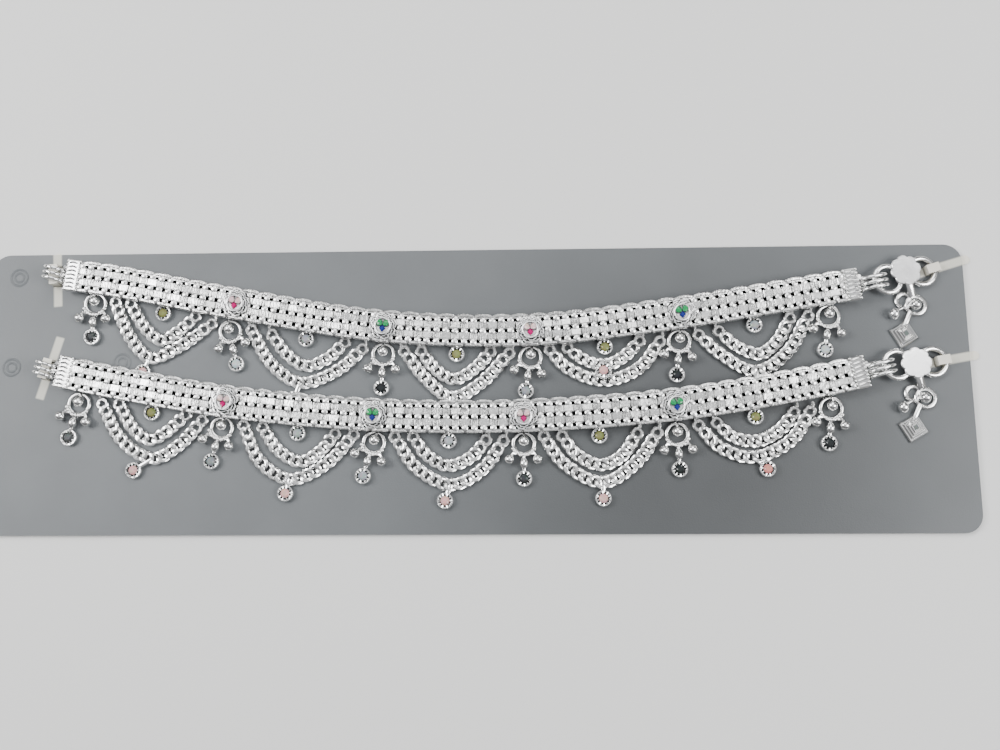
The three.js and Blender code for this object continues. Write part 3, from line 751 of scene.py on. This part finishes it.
def add_round_stone(shape, x, y, z, turn, radius, shade, height=0.7):
    """A round brilliant: table, star facets and girdle."""
    points = []
    z += 0.25
    for r, h, shift in ((radius, 0.0, 0.0), (radius, 0.16, 0.5), (0.8 * radius, 0.62 * height, 0.0),
                        (0.52 * radius, height, 0.5)):
        for i in range(8):
            angle = 2 * math.pi * (i + shift) / 8
            points.append((r * math.cos(angle), r * math.sin(angle), h))
    faces = [tuple(range(8))[::-1], tuple(range(24, 32))]
    for k in range(3):
        for i in range(8):
            j = (i + 1) % 8
            low, high = k * 8, k * 8 + 8
            if k % 2 == 0:
                faces.append((low + i, low + j, high + i))
                faces.append((low + j, high + j, high + i))
            else:
                faces.append((low + i, high + j, high + i))
                faces.append((low + i, low + j, high + j))
    shape.add(place(points, x, y, z, turn), faces, shade)


def add_cut_stone(shape, outline, x, y, z, turn, shade, height):
    """A stone of any outline with a flat table and sloping sides."""
    count = len(outline)
    points = [(px, py, 0.0) for px, py in outline]
    points += [(0.95 * px, 0.95 * py, 0.4 * height) for px, py in outline]
    points += [(0.55 * px, 0.55 * py, height) for px, py in outline]
    faces = [tuple(range(count))[::-1], tuple(range(2 * count, 3 * count))]
    for k in range(2):
        for i in range(count):
            j = (i + 1) % count
            faces.append((k * count + i, k * count + j, (k + 1) * count + j, (k + 1) * count + i))
    shape.add(place(points, x, y, z, turn), faces, shade)


# Rose medallion

def oval(wide, tall, steps, x=0.0, y=0.0, turn=0.0):
    points = []
    c, s = math.cos(math.radians(turn)), math.sin(math.radians(turn))
    for i in range(steps):
        angle = 2 * math.pi * i / steps
        px, py = wide * math.cos(angle), tall * math.sin(angle)
        points.append((px * c - py * s + x, px * s + py * c + y))
    return points


def add_rose(shape, x, y, turn, rng):
    """Wavy petals in three rows round a shield-shaped tray."""
    steps = 72
    rows = ((4.0, 0.0, 0.5, 8, 0.0), (3.4, 0.25, 0.8, 7, 0.6), (2.8, 0.5, 1.0, 6, 1.3))
    for radius, low, high, lobes, phase in rows:

        def petal(angle, r, h, lobes=lobes, phase=phase):
            lobe = abs(math.sin(lobes * angle / 2 + phase)) ** 0.6
            ripple = 0.035 * math.sin(3 * lobes * angle + phase)
            return r * (0.84 + 0.16 * lobe + ripple), h + 0.13 * lobe - 0.06

        profile = [(0.9 * radius, low), (radius, low + 0.15), (radius * 0.985, high - 0.03),
                   (radius * 0.92, high), (radius * 0.84, high - 0.3), (radius * 0.6, high - 0.4)]
        points, faces = lathe(profile, steps, petal)
        shape.add(place(points, x, y, FLOWER_BOTTOM, turn + rng.uniform(-8, 8)), faces)
    # the raised shield-shaped rim
    rim = []
    for i in range(28):
        t = 2 * math.pi * i / 28
        rim.append((2.4 * math.sin(t) * (0.9 + 0.12 * math.cos(t)), 2.3 * math.cos(t) - 0.2, 1.0))
    points, faces = sweep(rim, 0.5, 0.4, 8, True)
    shape.add(place(points, x, y, FLOWER_BOTTOM, turn), faces)
    points, faces = lathe([(2.3, 0.4), (2.1, 0.72), (0.1, 0.74)], 24)
    shape.add(place(points, x, y, FLOWER_BOTTOM, turn), faces)


# Operators

class AnkletLook(bpy.types.PropertyGroup):
    """Colours and chain size shared by every piece."""

    silver: bpy.props.FloatVectorProperty(
        name="Silver", description="Colour of the silver", subtype="COLOR", size=3, min=0, max=1,
        default=(0.93, 0.93, 0.92))
    card: bpy.props.FloatVectorProperty(
        name="Card", description="Colour of the frosted card", subtype="COLOR", size=3, min=0, max=1,
        default=(0.13, 0.14, 0.147))
    chain_pitch: bpy.props.FloatProperty(
        name="Chain pitch", description="Distance from one chain link to the next in millimetres",
        default=2.45, min=1.5, max=4)
    columns: bpy.props.IntProperty(
        name="Weave columns", description="Number of woven columns in each band", default=85, min=40, max=120)


class CardOperator(bpy.types.Operator):
    """Gives the card and its ties their plastics"""

    bl_idname = "anklets.card"
    bl_label = "Card and ties"

    def execute(self, context):
        wanted = {"card": "card", "upper_left_tie": "tie", "lower_left_tie": "tie", "upper_right_tie": "tie",
                  "lower_right_tie": "tie"}
        found = 0
        for thing in bpy.data.objects:
            base = thing.name.split(".")[0]
            if thing.type == "MESH" and base in wanted:
                for spot in thing.material_slots:
                    spot.link = "OBJECT"
                    spot.material = material_called(wanted[base])
                found += 1
        if found < 5:
            raise RuntimeError("The card or a tie is missing from the frame.")
        return {"FINISHED"}


class BandsOperator(bpy.types.Operator):
    """Weaves both bands and their end plates and wire coils"""

    bl_idname = "anklets.bands"
    bl_label = "Woven bands"

    def execute(self, context):
        look = context.scene.anklet_look
        for anklet in ANKLETS:
            name = anklet["name"]
            band = Band(anklet)
            weave = Shape()
            add_weave(weave, band, look.columns)
            weave.finish(name + "_weave", [name + "_band"], "silver_weave", material_called("weave"), 30)
            ends = Shape()
            add_cap(ends, band, False)
            add_cap(ends, band, True)
            add_coil(ends, band, False, 6.6, 6.6)
            add_coil(ends, band, True, 8.4, 5.4)
            ends.finish(name + "_band_ends", [name + "_band"], "silver_weave", material_called("polished"), 40)
        return {"FINISHED"}


class ChainsOperator(bpy.types.Operator):
    """Links both rows of curb chain swags"""

    bl_idname = "anklets.chains"
    bl_label = "Curb chain swags"

    def execute(self, context):
        pitch = context.scene.anklet_look.chain_pitch
        rng = random.Random(5)
        for anklet in ANKLETS:
            name = anklet["name"]
            for row in ("outer", "inner"):
                chains = Shape()
                for route in anklet[row]:
                    add_curb_chain(chains, route, pitch, rng)
                chains.finish(f"{name}_{row}_chains", nodes_of(anklet, row + "_swag", 5), "silver_chain",
                              material_called("chain"), 40)
            drops = Shape()
            stones = Shape()
            for route, (x, y, lift) in zip(anklet["outer"], anklet["pink"]):
                low_x, low_y = route[2]
                turn = math.degrees(math.atan2(low_x - x, y - low_y)) if lift == 0 else 0
                add_setting(drops, x, y, REST + lift, turn)
                add_round_stone(stones, x, y, REST + lift + 0.75, turn, 1.4, 0.1 if x > 82 else 0.6)
                path = [(low_x, low_y, REST + 0.9), ((low_x + x) / 2, (low_y + y) / 2, REST + lift + 1.0),
                        (x + 0.3 * (low_x - x), y + 0.3 * (low_y - y), REST + lift + 0.8)]
                points, faces = sweep(path, 1.3, 0.8, 8)
                drops.add(points, faces)
            drops.finish(name + "_swag_drops", nodes_of(anklet, "outer_swag", 5), "silver_chain",
                         material_called("polished"))
            stones.finish(name + "_pink_stones", nodes_of(anklet, "outer_swag", 5), "pink_stone",
                          material_called("pink"), 12)
        return {"FINISHED"}


class MedallionsOperator(bpy.types.Operator):
    """Sets the roses with their three stones each"""

    bl_idname = "anklets.medallions"
    bl_label = "Rose medallions"

    def execute(self, context):
        rng = random.Random(4)
        for anklet in ANKLETS:
            name = anklet["name"]
            band = Band(anklet)
            roses = Shape()
            sets = {"ruby": Shape(), "green": Shape(), "blue": Shape(), "pink": Shape()}
            for i, x in enumerate(anklet["flowers"]):
                y, turn = band.find(x)
                add_rose(roses, x, y, turn, rng)
                top, low = ("pink", "ruby") if i % 2 == 0 else ("green", "blue")
                for side in (-1, 1):
                    outline = oval(0.78, 0.92, 12, 1.0 * side, 0.7, -14 * side)
                    rim = [(px, py, 0.95) for px, py in oval(0.92, 1.06, 16, 1.0 * side, 0.7, -14 * side)]
                    points, faces = sweep(rim, 0.22, 0.4, 6, True)
                    roses.add(place(points, x, y, FLOWER_BOTTOM, turn), faces)
                    add_cut_stone(sets[top], outline, x, y, FLOWER_BOTTOM + 0.86, turn, 1.0, 0.42)
                outline = [(0, 0.0), (-0.95, -0.85), (0, -1.95), (0.95, -0.85)]
                kite = Shape()
                add_cut_stone(kite, [(px, py + 0.85) for px, py in outline], 0, -0.85, 0, 0, 0.6, 0.42)
                sets[low].add(place(kite.points, x, y, FLOWER_BOTTOM + 0.86, turn), kite.faces, 0.6)
            nodes = nodes_of(anklet, "flower", 4)
            roses.finish(name + "_roses", nodes, "frosted_silver", material_called("frosted"), 45)
            for color, stones in sets.items():
                look = material_called(color)
                stones.finish(f"{name}_rose_{color}_stones", nodes, color + "_stone", look, 12)
        return {"FINISHED"}


class ClustersOperator(bpy.types.Operator):
    """Makes the bell clusters and the stone drops hung between them"""

    bl_idname = "anklets.clusters"
    bl_label = "Bell clusters and stone drops"

    def execute(self, context):
        rng = random.Random(7)
        for anklet in ANKLETS:
            name = anklet["name"]
            band = Band(anklet)
            clusters = Shape()
            stones = Shape()
            for (x, y, turn), shade in zip(anklet["clusters"], anklet["cluster_shades"]):
                parts = [sweep(ring_path(2.95, 32, REST + 0.5), 1.15, 1.0, 10, True),
                         sphere(1.45, 0, 0.6, REST + 1.5),
                         sweep([(0, 1.6, REST + 1.2), (0, 2.6, REST + 1.0), (0, 3.3, REST + 0.7)], 0.8, 0.8, 8)]
                for bx, by, size, stretch in BELLS:
                    parts.append(sphere(size, bx, by, REST + size, stretch, True))
                    parts.append(sweep([(0.45 * bx, -2.9, REST + 0.6), (0.8 * bx, by + 1.7, REST + 1.2),
                                        (0.95 * bx, by + 0.9, REST + 1.3)], 0.9, 0.8, 8))
                for k in range(9):
                    angle = math.pi * (1.15 + 0.7 * k / 8)
                    parts.append(sphere(0.62, 3.3 * math.cos(angle) + rng.uniform(-0.1, 0.1),
                                        3.3 * math.sin(angle) + rng.uniform(-0.1, 0.1), REST + 1.0))
                parts.append(sweep([(0, -6.6, REST + 1.0), (0, -7.3, REST + 1.1), (0, -7.9, REST + 0.8)],
                                   1.1, 0.8, 8))
                for points, faces in parts:
                    clusters.add(place(points, x, y, 0, turn), faces)
                (sx, sy, _), = place([(0, -9.8, 0)], x, y, 0, turn)
                add_setting(clusters, sx, sy, REST, turn)
                add_round_stone(stones, sx, sy, REST + 0.75, turn, 1.4, shade)
            nodes = nodes_of(anklet, "cluster", 6)
            clusters.finish(name + "_bell_clusters", nodes, "polished_silver", material_called("polished"), 40)
            stones.finish(name + "_cluster_stones", nodes, "clear_stone", material_called("clear"), 12)

            drops = Shape()
            sets = {"olive": Shape(), "clear": Shape()}
            for i, (x, color) in enumerate(zip(anklet["drops"], anklet["drop_stones"])):
                y, turn = band.find(x)
                y -= STONE_DROP_BELOW_BAND
                add_setting(drops, x, y, REST, turn)
                loop = [(0, 2.0, REST + 1.0), (0, 2.5, REST + 1.15), (0, 3.0, REST + 0.9)]
                points, faces = sweep(loop, 1.1, 0.7, 8)
                drops.add(place(points, x, y, 0, turn), faces)
                add_round_stone(sets[color], x, y, REST + 0.75, turn, 1.4, 0.5 + 0.1 * (i % 3))
            nodes = nodes_of(anklet, "stone_drop", 5)
            drops.finish(name + "_drop_settings", nodes, "polished_silver", material_called("polished"), 40)
            for color, group in sets.items():
                group.finish(f"{name}_{color}_drop_stones", nodes, color + "_stone", material_called(color), 12)
        return {"FINISHED"}


class ClaspsOperator(bpy.types.Operator):
    """Forms the hook clasps with their flower plates and charms"""

    bl_idname = "anklets.clasps"
    bl_label = "Hook clasps"

    def execute(self, context):
        for anklet in ANKLETS:
            name = anklet["name"]
            x, y, turn, plate_x, plate_y = anklet["clasp"]
            clasp = Shape()
            plates = Shape()
            tilt = math.radians(4.9)

            def hang(points):
                c = math.cos(tilt)
                s = math.sin(tilt)
                tipped = [(px * c + pz * s, py, pz * c - px * s) for px, py, pz in points]
                return place(tipped, x, y, 3.1, turn)

            for side in (-1, 1):
                path = [(px + side * 5.1, py, pz) for px, py, pz in ring_path(3.8, 36)]
                points, faces = sweep(path, 1.5, 1.35, 12, True)
                clasp.add(hang(points), faces)
            points, faces = block(-1.5, 1.5, -1.2, 1.2, -0.65, 0.6, 0.2)
            clasp.add(hang(points), faces)

            def lobed(angle, r, h):
                dip = 0.13 * (1 - abs(math.cos(4 * angle)) ** 0.7)
                return r * (1 - dip * min(1, r / 3)), h

            profile = [(4.2, 0.45), (4.4, 0.6), (4.4, 1.1), (4.2, 1.25), (2.6, 1.2), (0.1, 1.22)]
            points, faces = lathe(profile, 64, lobed)
            plates.add(hang([(px + plate_x, py + plate_y, pz) for px, py, pz in points]), faces)

            charm = [sweep([(0.6, -3.6, 3.8), (1.2, -5.4, 3.1), (1.9, -7.2, REST + 0.7)], 2.2, 0.8, 10),
                     sphere(1.5, 2.3, -9.6, REST + 1.5, 1.0, True),
                     sphere(1.45, -3.9, -12.2, REST + 1.5, 1.15, True),
                     sweep([(-0.9, -10.0, REST + 0.7), (-2.4, -10.8, REST + 1.4), (-3.5, -11.4, REST + 1.5)],
                           0.8, 0.8, 8),
                     sweep([(1.1, -11.5, REST + 0.6), (-0.1, -13.6, REST + 0.9), (-1.0, -15.6, REST + 0.8)],
                           1.4, 0.9, 8)]
            for rx, ry, radius in ((2.7, -9.6, 2.6), (-0.6, -8.3, 2.0)):
                path = [(px + rx, py + ry, pz) for px, py, pz in ring_path(radius, 28, REST + 0.45)]
                charm.append(sweep(path, 1.15, 0.9, 10, True))
            for half, low, high in ((3.0, 0.0, 0.8), (2.35, 0.7, 1.4), (1.75, 1.3, 2.0), (1.2, 1.9, 2.3)):
                points, faces = block(-half, half, -half, half, REST + low, REST + high, 0.3)
                charm.append((place(points, -1.2, -17.9, 0, 30), faces))
            for points, faces in charm:
                clasp.add(place(points, x + plate_x, y + plate_y), faces)
            stones = Shape()
            outline = [(-0.85, -0.85), (0.85, -0.85), (0.85, 0.85), (-0.85, 0.85)]
            add_cut_stone(stones, outline, x + plate_x - 1.2, y + plate_y - 17.9, REST + 2.1, 30, 0.25, 0.3)
            clasp.finish(name + "_hook", [name + "_clasp"], "polished_silver", material_called("polished"), 40)
            frosted = material_called("frosted")
            plates.finish(name + "_hook_plate", [name + "_clasp"], "polished_silver", frosted, 30)
            stones.finish(name + "_hook_stone", [name + "_clasp"], "clear_stone", material_called("clear"), 12)
        return {"FINISHED"}


class StageOperator(bpy.types.Operator):
    """Lays the floor and sets the lights, the sky and the camera"""

    bl_idname = "anklets.stage"
    bl_label = "Floor, lights and camera"

    def execute(self, context):
        scene = context.scene
        mesh = bpy.data.meshes.new("floor")
        mesh.from_pydata([(-3, -3, 0), (3, -3, 0), (3, 3, 0), (-3, 3, 0)], [], [(0, 1, 2, 3)])
        floor = bpy.data.objects.new("floor", mesh)
        material, tree, shader = new_material("plain floor")
        shader.inputs["Base Color"].default_value = (0.72, 0.72, 0.71, 1)
        shader.inputs["Roughness"].default_value = 0.8
        mesh.materials.append(material)
        scene.collection.objects.link(floor)

        lights = [("left light", (-0.55, 0.12, 0.5), 0.35, 5.8), ("right light", (0.55, -0.1, 0.5), 0.35, 5.2),
                  ("back light", (0.05, 0.5, 0.6), 0.5, 3.2)]
        for name, spot, size, power in lights:
            lamp = bpy.data.lights.new(name, "AREA")
            lamp.size = size
            lamp.energy = power
            light = bpy.data.objects.new(name, lamp)
            light.location = spot
            light.rotation_euler = (Vector((0, 0, 0)) - Vector(spot)).to_track_quat("-Z", "Y").to_euler()
            scene.collection.objects.link(light)

        sky = bpy.data.worlds.new("studio")
        sky.use_nodes = True
        nodes, links = sky.node_tree.nodes, sky.node_tree.links
        way = nodes.new("ShaderNodeTexCoord")
        split = nodes.new("ShaderNodeSeparateXYZ")
        ramp = nodes.new("ShaderNodeValToRGB")
        ramp.color_ramp.elements[0].position = 0.0
        ramp.color_ramp.elements[0].color = (0.4, 0.4, 0.4, 1)
        ramp.color_ramp.elements[1].position = 1.0
        ramp.color_ramp.elements[1].color = (0.9, 0.91, 0.93, 1)
        middle = ramp.color_ramp.elements.new(0.55)
        middle.color = (0.1, 0.1, 0.105, 1)
        links.new(way.outputs["Generated"], split.inputs[0])
        links.new(split.outputs["Z"], ramp.inputs["Fac"])
        links.new(ramp.outputs["Color"], nodes["Background"].inputs["Color"])
        nodes["Background"].inputs["Strength"].default_value = 0.82
        scene.world = sky

        lens = bpy.data.cameras.new("camera")
        lens.lens = 36
        lens.sensor_width = 36
        lens.clip_start = 0.01
        camera = bpy.data.objects.new("camera", lens)
        camera.location = ((18.06 + CARD_X) / 1000, (-43.92 + CARD_Y) / 1000, (278.66 + CARD_TOP) / 1000)
        camera.rotation_euler = (math.radians(9.731), math.radians(1.953), math.radians(-0.116))
        scene.collection.objects.link(camera)
        scene.camera = camera
        return {"FINISHED"}


OPERATORS = (CardOperator, BandsOperator, ChainsOperator, MedallionsOperator, ClustersOperator, ClaspsOperator,
             StageOperator)


class AnkletPanel(bpy.types.Panel):
    """Lists the steps that build the anklets"""

    bl_idname = "VIEW3D_PT_anklets"
    bl_label = "Payal anklets"
    bl_space_type = "VIEW_3D"
    bl_region_type = "UI"
    bl_category = "Anklets"

    def draw(self, context):
        look = context.scene.anklet_look
        for name in ("silver", "card", "chain_pitch", "columns"):
            self.layout.prop(look, name)
        for step in OPERATORS:
            self.layout.operator(step.bl_idname)


def register():
    bpy.utils.register_class(AnkletLook)
    for step in OPERATORS:
        bpy.utils.register_class(step)
    bpy.utils.register_class(AnkletPanel)
    bpy.types.Scene.anklet_look = bpy.props.PointerProperty(type=AnkletLook)


def unregister():
    del bpy.types.Scene.anklet_look
    bpy.utils.unregister_class(AnkletPanel)
    for step in reversed(OPERATORS):
        bpy.utils.unregister_class(step)
    bpy.utils.unregister_class(AnkletLook)


def main():
    register()
    bpy.ops.anklets.card()
    bpy.ops.anklets.bands()
    bpy.ops.anklets.chains()
    bpy.ops.anklets.medallions()
    bpy.ops.anklets.clusters()
    bpy.ops.anklets.clasps()
    bpy.ops.anklets.stage()


if __name__ == "__main__":
    main()
